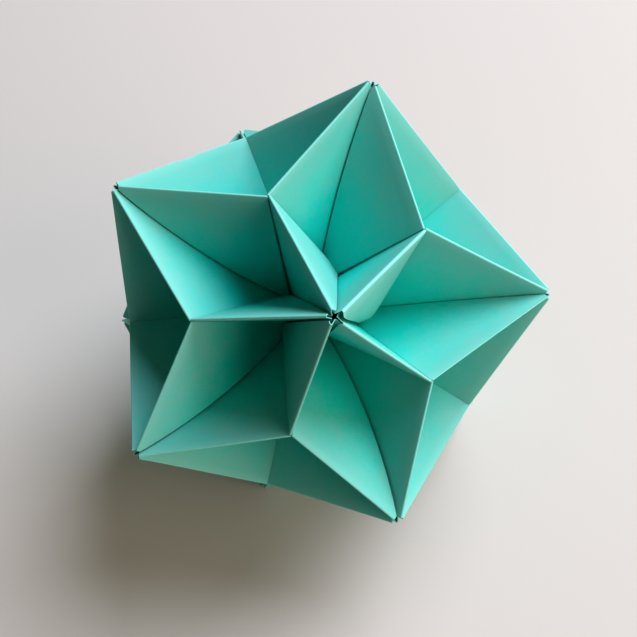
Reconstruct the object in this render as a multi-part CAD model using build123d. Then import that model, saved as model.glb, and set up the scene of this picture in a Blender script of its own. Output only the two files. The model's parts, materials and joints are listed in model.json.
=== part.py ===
from build123d import *
import os
from itertools import combinations
from math import atan, cos, degrees, radians, sin, sqrt

# A paper ball of thirty folded modules, one along each edge of an icosahedron.
# Each module is one folded sheet. It lines one rhombic pit with four facets and laps a flap
# over two of the ridges round that pit. The other two ridges belong to its neighbours, whose
# flaps come over into this pit and cover two of its facets, the tabs. Every facet is half of
# one small square, so it is right-angled where three ridges meet.
# The ball stands on three of its twelve tips, with a three-fold axis upright (+Z), and the
# origin is its centre. Sizes are in millimetres and angles in degrees.

# Driving dimensions
sheet_side = 75.0         # square sheet of one module
paper_thickness = 0.12    # coloured craft paper
layer_gap = 0.08          # air between two layers that lie on each other
flap_spring = 1.5         # angle at which a flap stands off the tab below it
tip_opening = 1.0         # from a sharp tip to the cut end of its ridge folds, along the ridge

# Angles between the axes of an icosahedron, through its tips, its edges and its faces
golden = (1 + sqrt(5)) / 2
tip_to_edge = degrees(atan(1 / golden))
edge_to_face = degrees(atan(1 / golden**2))
tip_to_face = degrees(atan(2 / golden**2))
face_to_far_tip = edge_to_face + 90 - tip_to_edge
tip_turn = 360 / 5
face_turn = 360 / 3


def side_squared(a, b, angle):
    """Squared distance between two points at radii a and b, an angle apart at the centre."""
    return a * a + b * b - 2 * a * b * cos(radians(angle))


def saddle_ratio(pit_ratio):
    """Saddle radius over tip radius at which both short sides of a facet are equal."""
    reach = cos(radians(tip_to_face)) - pit_ratio * cos(radians(edge_to_face))
    return (1 - pit_ratio**2) / (2 * reach)


def solve_pit_ratio(low=0.1, high=0.3, steps=60):
    """Pit radius over tip radius at which a facet is also right-angled, by halving."""
    for _ in range(steps):
        middle = (low + high) / 2
        long_side = side_squared(1, middle, tip_to_edge)
        short_side = side_squared(1, saddle_ratio(middle), tip_to_face)
        if long_side > 2 * short_side:
            low = middle
        else:
            high = middle
    return (low + high) / 2


# Sides of a facet, and radii of the tips, the saddles where ridges meet and the pit bottoms
facet_long = sheet_side / 2
facet_short = facet_long / sqrt(2)
pit_ratio = solve_pit_ratio()
tip_radius = facet_long / sqrt(side_squared(1, pit_ratio, tip_to_edge))
saddle_radius = tip_radius * saddle_ratio(pit_ratio)
pit_radius = tip_radius * pit_ratio


def in_pit(radius, angle, toward):
    """Point at a radius from the centre, tilted from the pit's axis (+Z) toward a direction."""
    return Vector(0, 0, radius * cos(radians(angle))) + toward * (radius * sin(radians(angle)))


# Corners of the pit that a module lines: two tips, two saddles and the bottom
west = in_pit(tip_radius, tip_to_edge, Vector(-1, 0, 0))
east = in_pit(tip_radius, tip_to_edge, Vector(1, 0, 0))
south = in_pit(saddle_radius, edge_to_face, Vector(0, -1, 0))
bottom = Vector(0, 0, pit_radius)


def turned(point, axis_point, angle):
    """Point turned about the line from the centre through another point."""
    return point.rotate(Axis((0, 0, 0), axis_point), angle)


def facet_plane(tip, saddle, pit):
    """Plane of a facet, with X along its ridge and Z out of the paper."""
    return Plane(origin=tip, x_dir=saddle - tip, z_dir=(saddle - tip).cross(pit - tip))


def neighbour_plane(axis_point, angle):
    """Plane of the west-south facet's twin on the module turned about a tip or a saddle."""
    return facet_plane(*[turned(corner, axis_point, angle) for corner in (west, south, bottom)])


# The west-south wall: this module's facet on its near side, and its flap on the far side
near_side = facet_plane(west, south, bottom)
ridge = near_side.x_dir
ridge_axis = Axis((0, 0, 0), ridge)
down_near = (bottom - south).normalized()
down_far = (turned(bottom, west, -tip_turn) - south).normalized()
wall_angle = down_near.get_angle(down_far)
down_flap = down_near.rotate(ridge_axis, -wall_angle - flap_spring)
out_near = near_side.z_dir
out_flap = out_near.rotate(ridge_axis, 180 - wall_angle - flap_spring)

# Layers in the wall: the fold is just wide enough to wrap the neighbour's tab, and the tab
# ends below it, where the wall is wide enough for both sheets
layer_pitch = paper_thickness + layer_gap
fold_radius = layer_pitch
fold_depth = fold_radius + paper_thickness / 2
tab_depth = fold_radius + layer_pitch / sin(radians(wall_angle))
fold_axis = west + down_near * fold_depth - out_near * fold_radius
clear_of_sheet = paper_thickness / 2 + layer_gap

# Planes that this module's sheet ends clear of, at the tip and at the saddle
tip_before = neighbour_plane(west, tip_turn)
tip_after = neighbour_plane(west, -tip_turn)
saddle_before = neighbour_plane(south, -face_turn)
saddle_after = neighbour_plane(south, face_turn)
tip_end = Plane(origin=west + ridge * tip_opening, z_dir=ridge)

# Middle of the next pit, where this module's flap meets the flap from the other side
next_pit_axis = turned(Vector(0, 0, 1), west, -tip_turn)
next_pit_middle = Plane(origin=(0, 0, 0), z_dir=next_pit_axis.cross(ridge))


def above(solid, plane, gap=0):
    """What lies on the Z side of a plane, at least a gap away from it."""
    return split(solid, bisect_by=plane.offset(gap), keep=Keep.TOP)


def below(solid, plane, gap=0):
    """What lies behind a plane, at least a gap away from it."""
    return split(solid, bisect_by=plane.offset(-gap), keep=Keep.BOTTOM)


def paper(start, along, down):
    """Rectangle of paper larger than a facet, half its thickness to each side of a corner."""
    far = start + along * facet_short
    drop = down * facet_long
    outline = Polyline(start, far, far + drop, start + drop, close=True)
    return extrude(make_face(outline), amount=paper_thickness / 2, both=True)


def inside_wall(solid):
    """Trims the near side of a fold to the sheets of the walls before it."""
    solid = below(solid, tip_before, clear_of_sheet)
    solid = below(solid, saddle_before, clear_of_sheet)
    return above(solid, tip_end)


def outside_wall(solid):
    """Trims the far side of a fold to the sheets of the walls after it."""
    solid = above(solid, tip_after, clear_of_sheet)
    solid = above(solid, saddle_after, clear_of_sheet)
    return above(solid, tip_end)


def make_facet():
    """Open facet of the pit, from the fold down to the two valleys."""
    solid = paper(west + down_near * fold_depth, ridge, down_near)
    solid = below(solid, Plane.YZ)
    solid = above(solid, Plane.XZ)
    return inside_wall(solid)


def make_tab():
    """Covered facet of the pit, which slides up under the neighbour's flap."""
    solid = paper(east + down_near * tab_depth, (south - east).normalized(), down_near)
    solid = above(solid, Plane.YZ)
    return above(solid, Plane.XZ)


def make_fold():
    """Rounded fold over the ridge, a bent band from the facet round to the flap."""
    crest = -(down_near + down_flap).normalized()
    ways = (out_near, crest, out_flap)
    outer = ThreePointArc(*[fold_axis + way * (fold_radius + paper_thickness / 2) for way in ways])
    inner = ThreePointArc(*[fold_axis + way * (fold_radius - paper_thickness / 2) for way in ways])
    section = make_face([outer, inner, Line(outer @ 0, inner @ 0), Line(outer @ 1, inner @ 1)])
    return inside_wall(outside_wall(extrude(section, amount=facet_short, dir=ridge)))


def make_flap():
    """Free flap over the next pit's tab, cut clear of the facets along its two open edges."""
    solid = outside_wall(paper(fold_axis + out_flap * fold_radius, ridge, down_flap))
    return above(solid, next_pit_middle, layer_gap)


def make_module():
    """One folded sheet: two facets, two tabs, two folds and two flaps round one pit."""
    half = make_facet() + make_tab() + make_fold() + make_flap()
    return half + half.rotate(Axis.Z, 180)


def make_tips():
    """Directions of the twelve tips, in four rings of three from the top down."""
    rings = ((tip_to_face, 30), (face_to_far_tip, 90), (180 - face_to_far_tip, 30), (180 - tip_to_face, 90))
    tips = []
    for polar, azimuth in rings:
        for third in range(3):
            up = Vector(0, 0, 1).rotate(Axis.Y, polar)
            tips.append(up.rotate(Axis.Z, azimuth + face_turn * third))
    return tips


def make_seats():
    """Places of the thirty modules: one for each pair of neighbouring tips."""
    seats = []
    for first, second in combinations(make_tips(), 2):
        if first.get_angle(second) < 90:
            seats.append(Plane(origin=(0, 0, 0), x_dir=second - first, z_dir=first + second))
    return seats


os.makedirs("parts", exist_ok=True)
module = make_module()
for number, seat in enumerate(make_seats(), start=1):
    export_step(seat.location * module, f"parts/module_{number:02d}.step")
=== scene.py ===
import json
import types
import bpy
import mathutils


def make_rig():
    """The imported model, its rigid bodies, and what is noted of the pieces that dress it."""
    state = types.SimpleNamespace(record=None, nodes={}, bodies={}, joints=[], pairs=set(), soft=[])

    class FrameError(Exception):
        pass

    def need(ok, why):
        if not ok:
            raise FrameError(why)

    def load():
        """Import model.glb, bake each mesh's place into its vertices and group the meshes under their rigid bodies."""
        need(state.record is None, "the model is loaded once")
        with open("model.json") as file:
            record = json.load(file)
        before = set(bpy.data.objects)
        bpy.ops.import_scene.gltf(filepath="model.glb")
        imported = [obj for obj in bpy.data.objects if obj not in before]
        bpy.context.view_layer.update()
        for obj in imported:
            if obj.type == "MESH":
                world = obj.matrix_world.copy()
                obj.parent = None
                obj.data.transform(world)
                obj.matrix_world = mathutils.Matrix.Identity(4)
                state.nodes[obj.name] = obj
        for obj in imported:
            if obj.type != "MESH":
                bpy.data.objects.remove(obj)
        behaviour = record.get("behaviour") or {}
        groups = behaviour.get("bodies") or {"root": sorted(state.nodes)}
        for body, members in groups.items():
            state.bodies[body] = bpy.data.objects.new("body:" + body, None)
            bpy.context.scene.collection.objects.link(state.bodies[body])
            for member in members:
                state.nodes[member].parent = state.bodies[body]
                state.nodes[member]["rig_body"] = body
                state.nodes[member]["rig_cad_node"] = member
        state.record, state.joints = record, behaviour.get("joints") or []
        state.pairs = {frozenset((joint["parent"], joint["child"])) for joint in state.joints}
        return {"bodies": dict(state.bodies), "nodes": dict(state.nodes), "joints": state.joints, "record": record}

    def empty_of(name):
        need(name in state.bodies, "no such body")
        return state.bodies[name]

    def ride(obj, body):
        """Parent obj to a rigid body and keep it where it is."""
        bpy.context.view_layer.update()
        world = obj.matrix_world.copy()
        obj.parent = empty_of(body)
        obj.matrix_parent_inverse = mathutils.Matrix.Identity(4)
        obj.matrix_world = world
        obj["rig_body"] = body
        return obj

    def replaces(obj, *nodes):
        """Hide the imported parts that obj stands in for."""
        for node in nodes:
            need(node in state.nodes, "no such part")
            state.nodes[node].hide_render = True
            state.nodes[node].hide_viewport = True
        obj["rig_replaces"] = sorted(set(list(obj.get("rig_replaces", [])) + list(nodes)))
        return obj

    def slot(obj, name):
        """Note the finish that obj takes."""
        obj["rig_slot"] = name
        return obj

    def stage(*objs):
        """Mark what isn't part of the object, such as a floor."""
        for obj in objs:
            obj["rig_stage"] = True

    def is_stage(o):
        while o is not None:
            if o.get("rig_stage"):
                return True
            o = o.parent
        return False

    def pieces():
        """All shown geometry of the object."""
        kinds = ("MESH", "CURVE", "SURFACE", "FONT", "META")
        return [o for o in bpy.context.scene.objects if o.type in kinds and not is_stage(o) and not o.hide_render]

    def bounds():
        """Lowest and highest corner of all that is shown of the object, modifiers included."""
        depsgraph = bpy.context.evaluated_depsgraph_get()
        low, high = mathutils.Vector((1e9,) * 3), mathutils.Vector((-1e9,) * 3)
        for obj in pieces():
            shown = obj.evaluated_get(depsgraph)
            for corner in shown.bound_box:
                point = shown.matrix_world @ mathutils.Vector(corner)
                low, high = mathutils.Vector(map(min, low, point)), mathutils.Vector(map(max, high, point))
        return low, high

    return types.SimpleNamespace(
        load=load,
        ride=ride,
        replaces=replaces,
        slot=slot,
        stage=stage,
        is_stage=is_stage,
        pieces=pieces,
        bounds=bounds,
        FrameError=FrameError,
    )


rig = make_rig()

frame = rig.load()

import json
import random
from itertools import combinations
from math import atan, cos, pi, radians, sin, sqrt

import bmesh
import bpy
from bpy.props import FloatProperty, FloatVectorProperty, IntProperty, PointerProperty
from bpy.types import Operator, Panel, PropertyGroup
from mathutils import Matrix, Vector, noise

bl_info = {
    "name": "Folded paper ball",
    "version": (1, 0, 0),
    "blender": (4, 5, 0),
    "location": "3D View > Sidebar > Paper Ball",
    "description": "Folds thirty paper modules into a star-shaped ball and sets it on a pale table",
    "category": "Add Mesh",
}

CAD_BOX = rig.bounds()
MM = 0.001
TINY = 1e-6

# Angles between the axes of an icosahedron, through its tips, its edges and its faces
GOLDEN = (1 + sqrt(5)) / 2
TIP_TO_EDGE = atan(1 / GOLDEN)
EDGE_TO_FACE = atan(1 / GOLDEN**2)
TIP_TO_FACE = atan(2 / GOLDEN**2)
FACE_TO_FAR_TIP = EDGE_TO_FACE + pi / 2 - TIP_TO_EDGE
TIP_TURN = 2 * pi / 5
FACE_TURN = 2 * pi / 3

# Parts of a module's sheet, as marks on its faces
FACET, TAB, FLAP = 0, 1, 2

# Flaps whose spring is plain to see: module and end, the degrees by which they stand off the tab
# at the saddle and at the tip, and in millimetres how far they are bent out and how far short of
# the tip they end
SEEN_FLAPS = {
    (6, "east"): (7.0, 7.0, 0.3, 0.5),
    (2, "east"): (6.8, 6.0, 0.6, 1.0),
    (11, "west"): (-0.5, 3.0, 0.1, 1.4),
    (12, "west"): (3.2, 4.0, 0.1, 0.6),
    (10, "west"): (-0.5, 1.0, 0.1, 0.5),
    (1, "east"): (0.4, 20.0, 0.0, 0.6),
    (4, "west"): (0.4, 14.0, 0.0, 0.6),
    (8, "east"): (-1.0, 20.0, 0.0, 0.6),
    (17, "east"): (-1.0, 20.0, 0.0, 0.6),
    (20, "west"): (-1.0, 1.5, 0.1, 0.2),
}

# Lowest and highest of the same four numbers for every other flap
SPRING_SPANS = ((-1.4, -0.4), (0, 7), (0, 0.25), (0, 0.35))

# A flap's short end fades out within this share of a facet's side, and this share of its shortness
# keeps the flap off the sheet on the far side of the tip
SHORT_REACH = 1 / 6
SHORT_CLEAR = 0.6

# The edge row of a closed flap, past this share of the ridge, slides on by up to so many
# millimetres, to reach the sheet on the far side of the saddle
EDGE_ROW = 0.99
EDGE_SLIDE = 0.45

# Degrees off the tab at which a flap is as pale as the ridges, because light reaches under it
PALE_ANGLE = 9

# Places that are dented, with their depth and reach, in millimetres
DENTS = (((-10.8, 17.5, 29.4), 0.35, 1.7),)

# Tips, saddles and pit bottoms that stray from a regular star: the tips by number, a saddle or a
# pit bottom by the tips round it, each with its shift in millimetres
STRAYS = {
    (0,): (-0.2, 0.6, 0.4), (1,): (-0.8, 0.2, 0.1), (2,): (0.6, -0.2, -0.1),
    (3,): (1.1, -1.2, -0.7), (4,): (-0.3, 0.9, 0.6), (5,): (0.6, -0.1, 0.0),
    (6,): (0.8, -0.6, -0.3), (7,): (1.3, -0.9, -0.5), (8,): (-0.8, 0.4, 0.2),
    (10,): (1.0, -0.4, -0.2),
    (0, 1, 2): (-1.0, 0.0, -0.1), (0, 1, 3): (0.0, -0.2, -0.1), (0, 2, 5): (1.1, -0.1, 0.0),
    (0, 5, 6): (1.3, 0.2, 0.2), (1, 2, 4): (-0.4, 0.2, 0.1), (1, 4, 7): (0.0, -0.4, -0.3),
    (2, 5, 8): (0.6, -0.5, -0.3), (5, 8, 11): (0.7, -0.5, -0.3),
    (2, 5): (0.35, -0.99, -0.63),
}

# How far the layers are pushed apart round the tips where they stand open, in millimetres, and the
# least and most of it that one module takes
TIP_HOLES = {0: 0.5, 1: 0.4, 2: 0.42, 4: 0.35, 5: 0.3, 8: 0.5}
TIP_PUSH = (0.6, 1.3)

# Seeds of the random draws: for swelling and for the push at the tips, before a module's number is
# added, and for the drift, which follows the clock if none is set
SWELL_SEED = 100
PUSH_SEED = 200
DRIFT_SEED = 849

# How quickly swelling and drift change along the paper, and where the drift's pattern starts
SWELL_SCALE = 90
DRIFT_SCALE = 22
DRIFT_START = Vector((3.1, 7.7, 1.9))

# How far from the crest of a ridge its paper is rubbed and carries a painted highlight, in millimetres
WEAR_AND_HIGHLIGHT_REACH = 0.28

# Angle between faces up to which paper is shaded as one smooth sheet
SMOOTH_ANGLE = radians(32)

TABLE_RADIUS = 2.5

# Colours of the large light, the weak light and the even light
KEY_COLOUR = (0.84, 0.905, 1)
FILL_COLOUR = (1, 0.78, 0.61)
SKY_COLOUR = (0.62, 1, 0.76, 1)


class PaperShape(PropertyGroup):
    """Sizes of the sheet and of its folds."""

    sheet_side: FloatProperty(
        name="Sheet side", description="Side of the square sheet of one module",
        default=75 * MM, unit="LENGTH")
    thickness: FloatProperty(
        name="Paper thickness", description="Thickness of the coloured paper",
        default=0.12 * MM, unit="LENGTH", precision=5)
    layer_gap: FloatProperty(
        name="Layer gap", description="Air between two layers that lie on each other",
        default=0.04 * MM, unit="LENGTH", precision=5)
    tip_opening: FloatProperty(
        name="Tip opening", description="From a sharp tip to the cut end of its ridge folds",
        default=1 * MM, unit="LENGTH", precision=4)
    spring: FloatProperty(
        name="Flap spring", description="Angle at which a flap is folded off the tab below it",
        default=radians(1.5), subtype="ANGLE")
    cells: IntProperty(
        name="Cells", description="Rows of faces across one facet", default=16, min=4, max=40)
    fold_steps: IntProperty(
        name="Fold steps", description="Faces round a ridge fold", default=8, min=2, max=24)
    wave: FloatProperty(
        name="Waviness", description="How far the paper swells between its creases",
        default=0.18 * MM, unit="LENGTH", precision=5)
    hole: FloatProperty(
        name="Tip hole", description="How far the layers are pushed apart round a closed tip",
        default=0.16 * MM, unit="LENGTH", precision=5)
    drift: FloatProperty(
        name="Drift", description="How far the ball strays from a regular star",
        default=0.3 * MM, unit="LENGTH", precision=5)


class PaperFinish(PropertyGroup):
    """Colours and surface of the paper, with painted shade in the pits and a painted highlight on the folds."""

    paper: FloatVectorProperty(
        name="Paper", description="Colour of the paper near the ridges",
        default=(0.14, 0.49, 0.435), subtype="COLOR", min=0, max=1)
    # Painted shade: the darker, more saturated teal that light bounced between the pit walls would give, painted into
    # the colour down in the pits.
    pit_shade: FloatVectorProperty(
        name="Deep paper", description="Colour down in the pits, where no light has faded it",
        default=(0.004, 0.56, 0.495), subtype="COLOR", min=0, max=1)
    # Rubbed wear on the fold crests, and also a painted highlight where their round catches the light.
    wear_and_highlight: FloatVectorProperty(
        name="Worn fold", description="Colour of the rubbed ridge folds",
        default=(0.22, 0.64, 0.58), subtype="COLOR", min=0, max=1)
    roughness: FloatProperty(
        name="Roughness", description="Roughness of the paper",
        default=0.62, min=0, max=1, subtype="FACTOR")


class Studio(PropertyGroup):
    """Camera, table and light."""

    camera_place: FloatVectorProperty(
        name="Camera place", description="Where the lens is",
        default=(-0.00833, -0.10272, 0.15079), subtype="TRANSLATION")
    camera_aim: FloatVectorProperty(
        name="Camera aim", description="Point at the middle of the picture",
        default=(0.000476, -0.002063, -0.001338), subtype="TRANSLATION")
    camera_up: FloatVectorProperty(
        name="Camera up", description="Upward direction of the picture",
        default=(0.37519, 0.76292, 0.52649), subtype="DIRECTION")
    lens: FloatProperty(
        name="Lens", description="Focal length for a sensor 36 mm wide", default=55.7)
    table: FloatVectorProperty(
        name="Table", description="Colour of the table",
        default=(0.63, 0.562, 0.53), subtype="COLOR", min=0, max=1)
    key_power: FloatProperty(
        name="Key light", description="Power of the large soft light",
        default=27.4, unit="POWER")
    fill_power: FloatProperty(
        name="Fill light", description="Power of the weak light from the front",
        default=5.6, unit="POWER")
    sky_strength: FloatProperty(
        name="Sky", description="Strength of the even light from all sides",
        default=0.095, min=0)


def squared_side(a, b, angle):
    """Squared distance between two points at radii a and b, an angle apart at the centre."""
    return a * a + b * b - 2 * a * b * cos(angle)


def saddle_ratio(pit_ratio):
    """Saddle radius over tip radius at which both short sides of a facet are equal."""
    return (1 - pit_ratio**2) / (2 * (cos(TIP_TO_FACE) - pit_ratio * cos(EDGE_TO_FACE)))


def solve_pit_ratio(low=0.1, high=0.3, steps=60):
    """Pit radius over tip radius at which a facet is also right-angled, by halving."""
    for _ in range(steps):
        middle = (low + high) / 2
        short = squared_side(1, saddle_ratio(middle), TIP_TO_FACE)
        if squared_side(1, middle, TIP_TO_EDGE) > 2 * short:
            low = middle
        else:
            high = middle
    return (low + high) / 2


def in_pit(radius, angle, x, y):
    """Point at a radius from the centre, tilted from the pit's axis towards a direction."""
    return Vector((x * radius * sin(angle), y * radius * sin(angle), radius * cos(angle)))


def about(axis, angle):
    """Turn about a line through the ball's centre."""
    return Matrix.Rotation(angle, 3, axis.normalized())


class Wall:
    """Points, lines and planes of the west-south wall in its pit's frame, from the sizes."""

    def __init__(self, shape):
        pit_ratio = solve_pit_ratio()
        facet_long = shape.sheet_side / 2
        tip_radius = facet_long / sqrt(squared_side(1, pit_ratio, TIP_TO_EDGE))
        self.side = facet_long / sqrt(2)
        self.west = in_pit(tip_radius, TIP_TO_EDGE, -1, 0)
        self.south = in_pit(tip_radius * saddle_ratio(pit_ratio), EDGE_TO_FACE, 0, -1)
        self.bottom = Vector((0, 0, tip_radius * pit_ratio))
        self.ridge = (self.south - self.west).normalized()
        self.down = (self.bottom - self.south).normalized()
        self.out = self.ridge.cross(self.down)
        far_bottom = about(self.west, -TIP_TURN) @ self.bottom
        wall_angle = self.down.angle(far_bottom - self.south)
        self.turn = pi - wall_angle - shape.spring
        self.pitch = shape.thickness + shape.layer_gap
        self.clear = shape.thickness / 2 + shape.layer_gap
        self.fold_start = self.west + self.down * (self.pitch + shape.thickness / 2)
        self.tab_start = self.west + self.down * (self.pitch + self.pitch / sin(wall_angle))
        self.fold_axis = self.fold_start - self.out * self.pitch
        self.flap_down = about(self.ridge, -wall_angle - shape.spring) @ self.down
        self.flap_out = about(self.ridge, self.turn) @ self.out
        self.tab_out = about(self.ridge, pi - wall_angle) @ self.out
        self.tip_end = self.west + self.ridge * shape.tip_opening
        next_axis = about(self.west, -TIP_TURN) @ Vector((0, 0, 1))
        self.pit_middle = next_axis.cross(self.ridge).normalized()
        self.tip_before = self.twin(self.west, TIP_TURN)
        self.tip_after = self.twin(self.west, -TIP_TURN)
        self.saddle_before = self.twin(self.south, -FACE_TURN)
        self.saddle_after = self.twin(self.south, FACE_TURN)

    def twin(self, axis, angle):
        """Point and normal of the open facet on the module turned about a tip or a saddle."""
        turn = about(axis, angle)
        return turn @ self.west, turn @ self.out


def only(obj):
    """Selects one object alone and makes it the active one."""
    bpy.ops.object.select_all(action="DESELECT")
    obj.select_set(True)
    bpy.context.view_layer.objects.active = obj


def pick(obj, part, test=None):
    """Selects, in edit mode, the faces of one part of the sheet whose middles pass a test."""
    bpy.ops.mesh.select_all(action="DESELECT")
    bpy.ops.mesh.select_mode(type="FACE")
    mesh = bmesh.from_edit_mesh(obj.data)
    for face in mesh.faces:
        in_part = face.material_index == part
        face.select_set(in_part and (test is None or test(face.calc_center_median())))
    bmesh.update_edit_mesh(obj.data)


def mark(obj, part):
    """Marks the selected faces as one part of the sheet."""
    mesh = bmesh.from_edit_mesh(obj.data)
    for face in mesh.faces:
        if face.select:
            face.material_index = part
    bmesh.update_edit_mesh(obj.data)


def trim(obj, part, plane, keep, gap=0):
    """Cuts one part of the sheet along a plane and keeps its faces above it, or below it."""
    point, normal = plane
    side = 1 if keep == "above" else -1
    point = point + normal * gap * side
    pick(obj, part)
    bpy.ops.mesh.bisect(plane_co=point, plane_no=normal, threshold=1e-7)
    pick(obj, part, test=lambda place: (place - point).dot(normal) * side < 0)
    bpy.ops.mesh.delete(type="FACE")


def add_facet(shape, wall):
    """A square of paper over the wall, cut to the facet's triangle along the pit's long valley."""
    bpy.ops.object.select_all(action="DESELECT")
    axes = Matrix((wall.ridge, wall.down, wall.out)).transposed()
    bpy.ops.mesh.primitive_grid_add(
        x_subdivisions=shape.cells, y_subdivisions=shape.cells, size=wall.side,
        location=wall.west + (wall.ridge + wall.down) * wall.side / 2, rotation=axes.to_euler())
    bpy.ops.object.transform_apply(location=True, rotation=True, scale=True)
    obj = bpy.context.object
    bpy.ops.object.mode_set(mode="EDIT")
    trim(obj, FACET, (Vector(), Vector((0, 1, 0))), "below")
    return obj


def add_tab(obj, wall):
    """Mirrors the facet over the short valley, and trims it as a tab that slides under a flap."""
    bpy.ops.mesh.select_all(action="SELECT")
    bpy.ops.mesh.duplicate()
    bpy.ops.transform.mirror(constraint_axis=(True, False, False), center_override=(0, 0, 0))
    mark(obj, TAB)
    trim(obj, TAB, (wall.tab_start, wall.down), "above")


def add_flap(obj, shape, wall):
    """Rolls the facet's top edge round the ridge and draws it down as a flap on the far side."""
    trim(obj, FACET, (wall.fold_start, wall.down), "above")
    trim(obj, FACET, wall.tip_before, "below", wall.clear)
    trim(obj, FACET, wall.saddle_before, "below", wall.clear)
    trim(obj, FACET, (wall.tip_end, wall.ridge), "above")
    bpy.ops.mesh.select_all(action="DESELECT")
    bpy.ops.mesh.select_mode(type="EDGE")
    mesh = bmesh.from_edit_mesh(obj.data)
    for edge in mesh.edges:
        ends = [abs((vert.co - wall.fold_start).dot(wall.down)) for vert in edge.verts]
        edge.select_set(max(ends) < TINY)
    bmesh.update_edit_mesh(obj.data)
    bpy.ops.mesh.spin(
        steps=shape.fold_steps, angle=-wall.turn, center=wall.fold_axis, axis=wall.ridge)
    row = wall.flap_down * wall.side / shape.cells
    for _ in range(shape.cells):
        bpy.ops.mesh.extrude_region_move(TRANSFORM_OT_translate={"value": row})
    pick(obj, FACET, test=lambda place: abs((place - wall.west).dot(wall.out)) > TINY)
    mark(obj, FLAP)
    trim(obj, FLAP, wall.tip_after, "above", wall.clear)
    trim(obj, FLAP, wall.saddle_after, "above", wall.clear)
    trim(obj, FLAP, (wall.tip_end, wall.ridge), "above")
    trim(obj, FLAP, (Vector(), wall.pit_middle), "above", shape.layer_gap)


def fold_module(shape, wall):
    """One flat module, folded: half of it, and the same again half a turn round the pit."""
    obj = add_facet(shape, wall)
    add_tab(obj, wall)
    add_flap(obj, shape, wall)
    bpy.ops.mesh.select_mode(type="VERT")
    bpy.ops.mesh.select_all(action="SELECT")
    bpy.ops.mesh.duplicate()
    bpy.ops.transform.rotate(value=pi, orient_axis="Z", center_override=(0, 0, 0))
    bpy.ops.mesh.select_all(action="SELECT")
    bpy.ops.mesh.remove_doubles(threshold=TINY)
    bpy.ops.mesh.normals_make_consistent(inside=False)
    bpy.ops.object.mode_set(mode="OBJECT")
    return obj


def tip_directions():
    """Directions of the twelve tips, in four rings of three from the top down."""
    rings = (
        (TIP_TO_FACE, 30), (FACE_TO_FAR_TIP, 90),
        (pi - FACE_TO_FAR_TIP, 30), (pi - TIP_TO_FACE, 90))
    tips = []
    for polar, azimuth in rings:
        for third in range(3):
            turn = Matrix.Rotation(radians(azimuth) + FACE_TURN * third, 3, "Z")
            tips.append(turn @ Vector((sin(polar), 0, cos(polar))))
    return tips


def seats():
    """Places of the thirty modules: one for each pair of neighbouring tips."""
    places = []
    for first, second in combinations(tip_directions(), 2):
        if first.dot(second) > 0:
            up = (first + second).normalized()
            along = (second - first).normalized()
            places.append(Matrix((along, up.cross(along), up)).transposed().to_4x4())
    return places


class Roll:
    """Where each point of a module's folds and flaps lies.

    A point has its number, its end, that end's half turn, its share of the turn round the fold, and
    its depth and its distance from the tip as shares of a facet's side.
    """

    def __init__(self, obj, wall):
        self.points = []
        rolled = {
            index for face in obj.data.polygons if face.material_index == FLAP
            for index in face.vertices}
        for index in sorted(rolled):
            place = obj.data.vertices[index].co
            for end, half_turn in (("west", Matrix()), ("east", Matrix.Rotation(pi, 4, "Z"))):
                arm = half_turn.inverted() @ place - wall.fold_axis
                along = arm.dot(wall.ridge)
                across = arm - wall.ridge * along
                depth = across.dot(wall.flap_down)
                if depth >= 0 and abs(across.dot(wall.flap_out) - wall.pitch) < TINY:
                    share = 1
                elif abs(across.length - wall.pitch) < TINY:
                    share = across.angle(wall.out) / wall.turn
                    depth = 0
                else:
                    continue
                self.points.append(
                    (index, end, half_turn, share, depth / wall.side, along / wall.side))


def spring_of(number, end, luck):
    """Angles of one flap off the tab at the saddle and the tip, its bend and its short end."""
    chance = [luck.uniform(*span) for span in SPRING_SPANS]
    at_saddle, at_tip, bend, short = SEEN_FLAPS.get((number, end), chance)
    return radians(at_saddle), radians(at_tip), bend * MM, short * MM


def settle(place, wall, short):
    """Keeps a point of a flap off the three sheets that it lies between."""
    for point, normal, gap in (
            (*wall.tip_after, wall.clear + short * SHORT_CLEAR),
            (*wall.saddle_after, wall.clear),
            (wall.west, wall.tab_out, wall.pitch)):
        height = (place - point).dot(normal)
        if height < gap:
            place = place + normal * (gap - height)
    return place


def spring_flaps(obj, number, roll, wall):
    """Opens each flap of one module, wider at one end than at the other, as creased paper does."""
    luck = random.Random(number)
    pit_shade = obj.data.attributes["pit_shade"].data
    springs = {end: spring_of(number, end, luck) for end in ("west", "east")}
    for index, end, half_turn, share, depth, along in roll.points:
        at_saddle, at_tip, bend, short = springs[end]
        vert = obj.data.vertices[index]
        arm = half_turn.inverted() @ vert.co - wall.fold_axis
        angle = at_tip + (at_saddle - at_tip) * along
        turn = Matrix.Rotation(-angle * share, 3, wall.ridge)
        place = wall.fold_axis + turn @ arm
        at_end = max(0, 1 - along / SHORT_REACH) * max(0, 1 - depth / SHORT_REACH)
        place += wall.ridge * short * at_end
        if depth > 0:
            if along > EDGE_ROW and at_saddle < 0:
                point, normal = wall.saddle_after
                gap = (place - point).dot(normal) - wall.clear
                slide = max(0, gap) / -normal.dot(wall.ridge)
                place += wall.ridge * min(slide, EDGE_SLIDE * MM)
            rise = bend * (1 - along) * sin(pi * sqrt(min(1, depth)))
            place = settle(place + turn @ wall.flap_out * rise, wall, short)
            # Painted pit shade, with less of it on a flap that stands open off the tab.
            pit_shade[index].value = depth * min(1, 1 - at_saddle / radians(PALE_ANGLE))
        vert.co = half_turn @ place


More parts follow.
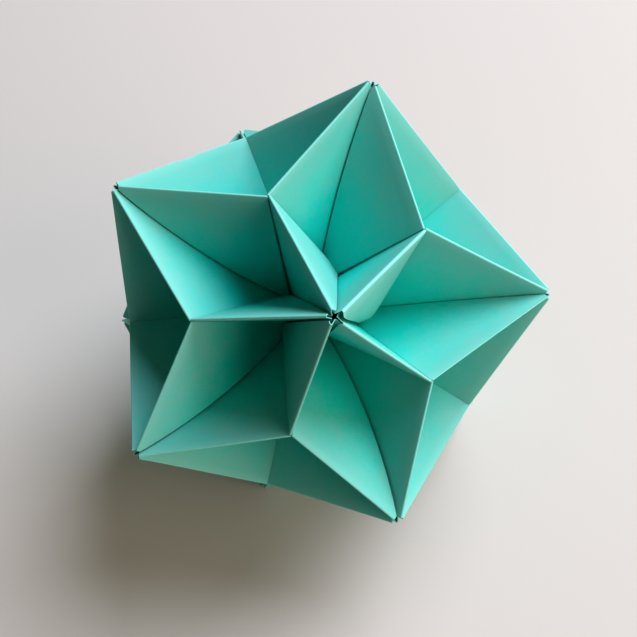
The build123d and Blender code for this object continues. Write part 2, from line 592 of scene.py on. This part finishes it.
def swell_facets(obj, number, shape, wall):
    """Lets the paper of the open facets swell a little between their creases."""
    luck = random.Random(SWELL_SEED + number)
    shift = Vector((luck.uniform(0, 50), luck.uniform(0, 50), number))
    reach = wall.side / 6
    for vert in obj.data.vertices:
        if abs(vert.co.y) <= TINY or abs(vert.co.x) <= TINY:
            continue
        for sign in (1, -1):
            place = Vector((vert.co.x * sign, vert.co.y * sign, vert.co.z))
            if abs((place - wall.west).dot(wall.out)) > TINY:
                continue
            edges = ((place - wall.fold_start).dot(wall.down), -place.x, -place.y)
            hold = min(1, max(0, min(edges)) / reach)
            lift = noise.noise(vert.co * SWELL_SCALE + shift) * shape.wave * hold
            vert.co += Vector((wall.out.x * sign, wall.out.y * sign, wall.out.z)) * lift
            break


def pit_shift(pit, shifts):
    """Mean shift of the two tips and the two saddles round a pit."""
    beside = [
        shift for names, shift in shifts.items()
        if set(names) <= set(pit) or set(names) >= set(pit)]
    return [sum(parts) / len(beside) for parts in zip(*beside)]


def corners(wall):
    """Tips, saddles and pit bottoms of a regular star, with their shifts in the hand-made ball."""
    tips = [tip * wall.west.length for tip in tip_directions()]
    near = tips[0].dot(tips[1]) / 2
    shifts = {}
    kinds = []
    for count, radius in ((1, wall.west.length), (3, wall.south.length), (2, wall.bottom.z)):
        kind = []
        for names in combinations(range(len(tips)), count):
            pairs = combinations(names, 2)
            if any(tips[first].dot(tips[second]) < near for first, second in pairs):
                continue
            carried = pit_shift(names, shifts) if count == 2 else (0, 0, 0)
            shifts[names] = STRAYS.get(names, carried)
            axis = sum((tips[name] for name in names), Vector()).normalized()
            kind.append((axis, axis * radius, Vector(shifts[names]) * MM))
        kinds.append(kind)
    return kinds


def stray(obj, number, shape, kinds):
    """Carries a whole module along as the hand-made ball strays from a regular star.

    Between the tip, the saddle and the pit bottom round a point, the shift changes evenly, so
    facets stay flat and ridges straight. Round the tips, the layers are pushed apart a little.
    """
    push = random.Random(PUSH_SEED + number).uniform(*TIP_PUSH)
    for vert in obj.data.vertices:
        near = [max(kind, key=lambda corner: corner[0].dot(vert.co)) for kind in kinds]
        parts = Matrix([place for _, place, _ in near]).transposed().inverted() @ vert.co
        shift = sum((move * part for (_, _, move), part in zip(near, parts)), Vector())
        axis = near[0][0]
        arm = vert.co - axis * vert.co.dot(axis)
        hole = TIP_HOLES.get(kinds[0].index(near[0]), shape.hole / MM) * MM * push
        spread = arm.normalized() * (sqrt(arm.length_squared + hole**2) - arm.length)
        drift = noise.noise_vector(vert.co * DRIFT_SCALE + DRIFT_START)
        vert.co += shift + spread + drift * shape.drift
        for dent, depth, reach in DENTS:
            press = max(0, 1 - (vert.co / MM - Vector(dent)).length / reach)
            vert.co -= vert.co.normalized() * depth * MM * press


def add_wear_and_highlight(obj, wall):
    """Stores how much each point is rubbed and painted with a highlight: most on the round of the folds and at the
    tips.
    """
    wear_and_highlight = obj.data.attributes.new("wear_and_highlight", "FLOAT", "POINT")
    crest = wall.fold_axis - (wall.down + wall.flap_down).normalized() * wall.pitch
    for vert, value in zip(obj.data.vertices, wear_and_highlight.data):
        least = 1.0
        for sign in (1, -1):
            place = Vector((vert.co.x * sign, vert.co.y * sign, vert.co.z)) - crest
            across = place - wall.ridge * place.dot(wall.ridge)
            least = min(least, across.length / (WEAR_AND_HIGHLIGHT_REACH * MM))
        value.value = 1 - least


def add_pit_shade_mask(obj, roll, wall):
    """Stores how far down a pit each point of the sheet lies, 0 on a ridge and 1 at the far corner, as the mask of the
    painted pit shade.
    """
    pit_shade = obj.data.attributes.new("pit_shade", "FLOAT", "POINT")
    for vert, value in zip(obj.data.vertices, pit_shade.data):
        place = Vector((-abs(vert.co.x), -abs(vert.co.y), vert.co.z))
        value.value = (place - wall.west).dot(wall.down) / wall.side
    for index, _, _, _, depth, _ in roll.points:
        pit_shade.data[index].value = depth


class Tally:
    """A number that varies over a surface. Its arithmetic adds Math nodes."""

    def __init__(self, tree, socket):
        self.tree = tree
        self.socket = socket

    def math(self, operation, first, second):
        node = self.tree.nodes.new("ShaderNodeMath")
        node.operation = operation
        for slot, value in zip(node.inputs, (first, second)):
            if isinstance(value, Tally):
                self.tree.links.new(value.socket, slot)
            else:
                slot.default_value = value
        return Tally(self.tree, node.outputs[0])

    def __add__(self, other):
        return self.math("ADD", self, other)

    def __radd__(self, other):
        return self.math("ADD", other, self)

    def __sub__(self, other):
        return self.math("SUBTRACT", self, other)

    def __rsub__(self, other):
        return self.math("SUBTRACT", other, self)

    def __mul__(self, other):
        return self.math("MULTIPLY", self, other)

    def __rmul__(self, other):
        return self.math("MULTIPLY", other, self)


class Recipe:
    """A material under the brush: one method adds any node with its settings and inputs."""

    def __init__(self, name):
        self.material = bpy.data.materials.new(name)
        self.material.use_nodes = True
        self.tree = self.material.node_tree
        self.tree.nodes.clear()

    def add(self, kind, settings=None, **inputs):
        node = self.tree.nodes.new("ShaderNode" + kind)
        for name, value in (settings or {}).items():
            setattr(node, name, value)
        for name, value in inputs.items():
            name = name.replace("_", " ")
            slot = node.inputs[int(name[5:])] if name.startswith("slot ") else node.inputs[name]
            if isinstance(value, Tally):
                value = value.socket
            if isinstance(value, bpy.types.NodeSocket):
                self.tree.links.new(value, slot)
            else:
                slot.default_value = value
        return node

    def tally(self, node):
        return Tally(self.tree, node.outputs["Fac"])

    def grain(self, place, scale, detail, roughness):
        """Cloudy pattern between 0 and 1, fixed to the object."""
        return self.tally(self.add(
            "TexNoise", Vector=place, Scale=scale, Detail=detail, Roughness=roughness))

    def stored(self, name):
        """Number stored on the points of the mesh."""
        return self.tally(self.add("Attribute", {"attribute_name": name}))

    def mix(self, share, first, second):
        """Colour between two others."""
        node = self.add("Mix", {"data_type": "RGBA"}, slot_0=share, slot_6=first, slot_7=second)
        return node.outputs[2]

    def finish(self, shader):
        self.add("OutputMaterial", Surface=shader.outputs[0])
        return self.material


def mint_paper(finish):
    """Matte coloured paper: cloudy pulp, fine tooth, painted shade that turns the colour a deeper teal down in the
    pits, and folds rubbed pale with a painted highlight.
    """
    recipe = Recipe("mint paper")
    place = recipe.add("TexCoord").outputs["Object"]
    cloud = recipe.grain(place, scale=180, detail=3, roughness=0.55)
    pulp = recipe.grain(place, scale=1400, detail=4, roughness=0.6)
    tooth = recipe.grain(place, scale=5200, detail=2, roughness=0.5)
    wear_and_highlight = recipe.stored("wear_and_highlight")
    depth = recipe.stored("pit_shade")
    pit_shade_share, cloud_share, pulp_share = 2.1, 0.9, 0.8
    # Random tone from the pulp, plus painted shade that grows the further down a pit a point lies.
    mottle_and_pit_shade = depth * pit_shade_share + (cloud - 0.5) * cloud_share + (pulp - 0.5) * pulp_share
    base = recipe.mix(mottle_and_pit_shade, (*finish.paper, 1), (*finish.pit_shade, 1))
    # Rubbed wear on the folds, together with a painted highlight on their round.
    wear_and_highlight_share = wear_and_highlight * (pulp * 0.9 + 0.45)
    colour = recipe.mix(wear_and_highlight_share, base, (*finish.wear_and_highlight, 1))
    bump = recipe.add("Bump", Strength=0.35, Distance=0.02 * MM, Height=pulp * 0.7 + tooth * 0.5)
    shader = recipe.add(
        "BsdfPrincipled", Base_Color=colour, Roughness=finish.roughness + (pulp - 0.5) * 0.12,
        Normal=bump.outputs[0], IOR=1.45, Specular_IOR_Level=0.2)
    return recipe.finish(shader)


def table_top(studio):
    """Smooth pale board with a faint grain."""
    recipe = Recipe("pale table")
    place = recipe.add("TexCoord").outputs["Object"]
    cloud = recipe.grain(place, scale=6, detail=2, roughness=0.5)
    dim = [channel * 0.97 for channel in studio.table]
    colour = recipe.mix(cloud, (*dim, 1), (*studio.table, 1))
    shader = recipe.add(
        "BsdfPrincipled", Base_Color=colour, Roughness=0.75, Specular_IOR_Level=0.25)
    return recipe.finish(shader)


def add_light(name, bearing, distance, size, power, colour):
    """A round soft light aimed at the ball from an azimuth and a height, in degrees."""
    azimuth, height = (radians(angle) for angle in bearing)
    back = Vector((cos(height) * cos(azimuth), cos(height) * sin(azimuth), sin(height)))
    bpy.ops.object.light_add(type="AREA", location=back * distance)
    lamp = bpy.context.object
    lamp.name = name
    lamp.rotation_euler = back.to_track_quat("Z", "Y").to_euler()
    lamp.data.shape = "DISK"
    lamp.data.size = size
    lamp.data.energy = power
    lamp.data.color = colour


def add_table(studio):
    """Round table under the lowest tips of the ball."""
    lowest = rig.bounds()[0][2]
    bpy.ops.object.select_all(action="DESELECT")
    bpy.ops.mesh.primitive_circle_add(
        vertices=96, radius=TABLE_RADIUS, fill_type="NGON", location=(0, 0, lowest))
    bpy.ops.object.transform_apply(location=True)
    table = bpy.context.object
    table.name = "table"
    table.data.materials.append(table_top(studio))
    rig.stage(table)


def add_camera(studio):
    """Camera at its place, turned to the middle of the picture, with the picture's own up."""
    place = Vector(studio.camera_place)
    back = (place - Vector(studio.camera_aim)).normalized()
    up = Vector(studio.camera_up)
    up = (up - back * up.dot(back)).normalized()
    turn = Matrix((up.cross(back), up, back)).transposed().to_4x4()
    bpy.ops.object.camera_add()
    camera = bpy.context.object
    camera.matrix_world = Matrix.Translation(place) @ turn
    camera.data.lens = studio.lens
    camera.data.clip_start = 0.005
    bpy.context.scene.camera = camera


class PAPERBALL_OT_modules(Operator):
    """Fold one module, copy it thirty times, spring its flaps and seat every copy in the ball"""

    bl_idname = "paper_ball.modules"
    bl_label = "Fold Modules"

    def execute(self, context):
        shape = context.scene.paper_shape
        wall = Wall(shape)
        sheet = fold_module(shape, wall)
        add_wear_and_highlight(sheet, wall)
        roll = Roll(sheet, wall)
        add_pit_shade_mask(sheet, roll, wall)
        kinds = corners(wall)
        noise.seed_set(DRIFT_SEED)
        paper = mint_paper(context.scene.paper_finish)
        for number, seat in enumerate(seats(), start=1):
            only(sheet)
            bpy.ops.object.duplicate()
            module = context.object
            module.name = f"paper_module_{number:02d}"
            module.data.name = module.name
            spring_flaps(module, number, roll, wall)
            swell_facets(module, number, shape, wall)
            for face in module.data.polygons:
                face.material_index = 0
            module.data.materials.append(paper)
            module.matrix_world = seat
            bpy.ops.object.transform_apply(location=True, rotation=True, scale=True)
            stray(module, number, shape, kinds)
            card = module.modifiers.new("card", "SOLIDIFY")
            card.thickness = shape.thickness
            card.offset = 0
            bpy.ops.object.modifier_apply(modifier=card.name)
            bpy.ops.object.shade_smooth_by_angle(angle=SMOOTH_ANGLE)
            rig.replaces(module, f"module_{number:02d}")
            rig.ride(module, "root")
            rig.slot(module, "mint_paper")
        bpy.data.objects.remove(sheet)
        return {"FINISHED"}


class PAPERBALL_OT_stage(Operator):
    """Set the ball on a pale table under soft light, seen from above"""

    bl_idname = "paper_ball.stage"
    bl_label = "Set Stage"

    def execute(self, context):
        studio = context.scene.paper_studio
        add_table(studio)
        add_camera(studio)
        add_light("key", bearing=(13, 44), distance=1.2, size=1,
                  power=studio.key_power, colour=KEY_COLOUR)
        add_light("fill", bearing=(-50, 20), distance=0.9, size=0.8,
                  power=studio.fill_power, colour=FILL_COLOUR)
        world = bpy.data.worlds.new("even light")
        world.use_nodes = True
        sky = world.node_tree.nodes["Background"]
        sky.inputs["Color"].default_value = SKY_COLOUR
        sky.inputs["Strength"].default_value = studio.sky_strength
        context.scene.world = world
        context.scene.view_settings.view_transform = "Standard"
        return {"FINISHED"}


class PAPERBALL_PT_sidebar(Panel):
    """Sizes, finishes and steps of the paper ball"""

    bl_idname = "PAPERBALL_PT_sidebar"
    bl_label = "Paper Ball"
    bl_space_type = "VIEW_3D"
    bl_region_type = "UI"
    bl_category = "Paper Ball"

    def draw(self, context):
        for group in GROUPS:
            box = self.layout.box()
            settings = getattr(context.scene, group)
            for name in settings.bl_rna.properties.keys():
                if name not in ("rna_type", "name"):
                    box.prop(settings, name)
        for step in STEPS:
            self.layout.operator(step.bl_idname)


GROUPS = {"paper_shape": PaperShape, "paper_finish": PaperFinish, "paper_studio": Studio}
STEPS = (PAPERBALL_OT_modules, PAPERBALL_OT_stage)


def register():
    for name, group in GROUPS.items():
        bpy.utils.register_class(group)
        setattr(bpy.types.Scene, name, PointerProperty(type=group))
    for cls in (*STEPS, PAPERBALL_PT_sidebar):
        bpy.utils.register_class(cls)


def unregister():
    for cls in (PAPERBALL_PT_sidebar, *reversed(STEPS)):
        bpy.utils.unregister_class(cls)
    for name, group in GROUPS.items():
        delattr(bpy.types.Scene, name)
        bpy.utils.unregister_class(group)


def plain(box):
    """A box as plain lists of numbers."""
    return [[float(value) for value in corner] for corner in box]


def main():
    register()
    bpy.ops.paper_ball.modules()
    bpy.ops.paper_ball.stage()
    with open("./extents.json", "w") as file:
        json.dump({"cad": plain(CAD_BOX), "visual": plain(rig.bounds())}, file)


if __name__ == "__main__":
    main()
